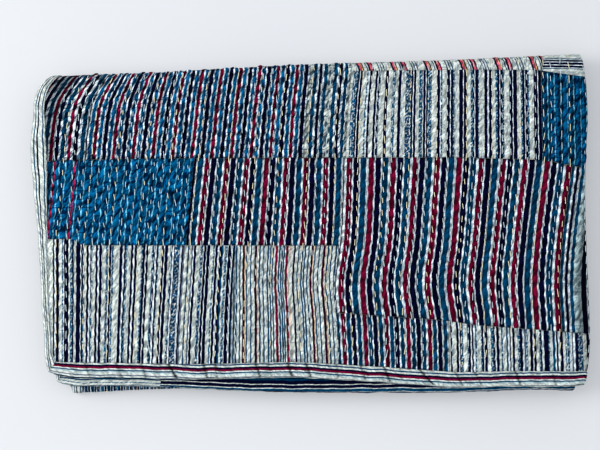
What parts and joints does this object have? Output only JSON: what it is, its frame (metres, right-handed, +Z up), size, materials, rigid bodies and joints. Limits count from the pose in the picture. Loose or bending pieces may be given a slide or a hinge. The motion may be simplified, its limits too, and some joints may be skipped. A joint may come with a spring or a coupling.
{
  "type": "folded kantha quilt",
  "caption": "Folded patchwork throw of layered cotton with running-stitch quilting and bound edges, lying flat on a surface.",
  "frame": {"origin": "middle of the folded bundle's underside", "axes": "+X along the front edge towards the side fold on the right, +Y from the bound ends at the front to the round fold at the back, +Z up"},
  "size_m": [0.6478, 0.4064, 0.0369],
  "materials": {
    "patchwork_cotton": "matt striped cotton patches, puckered by the stitching",
    "pale_binding": "matt cream cotton with thin stripes",
    "navy_binding": "matt navy and white striped cotton",
    "kantha_thread": "soft cream cotton thread"
  },
  "bodies": {
    "root": {"quilt_cloth": "patchwork_cotton", "upper_end_binding": "pale_binding", "lower_end_binding_navy": "navy_binding", "lower_end_binding_cream": "pale_binding", "outer_side_binding": "pale_binding", "inner_side_binding": "pale_binding"}
  },
  "joints": []
}
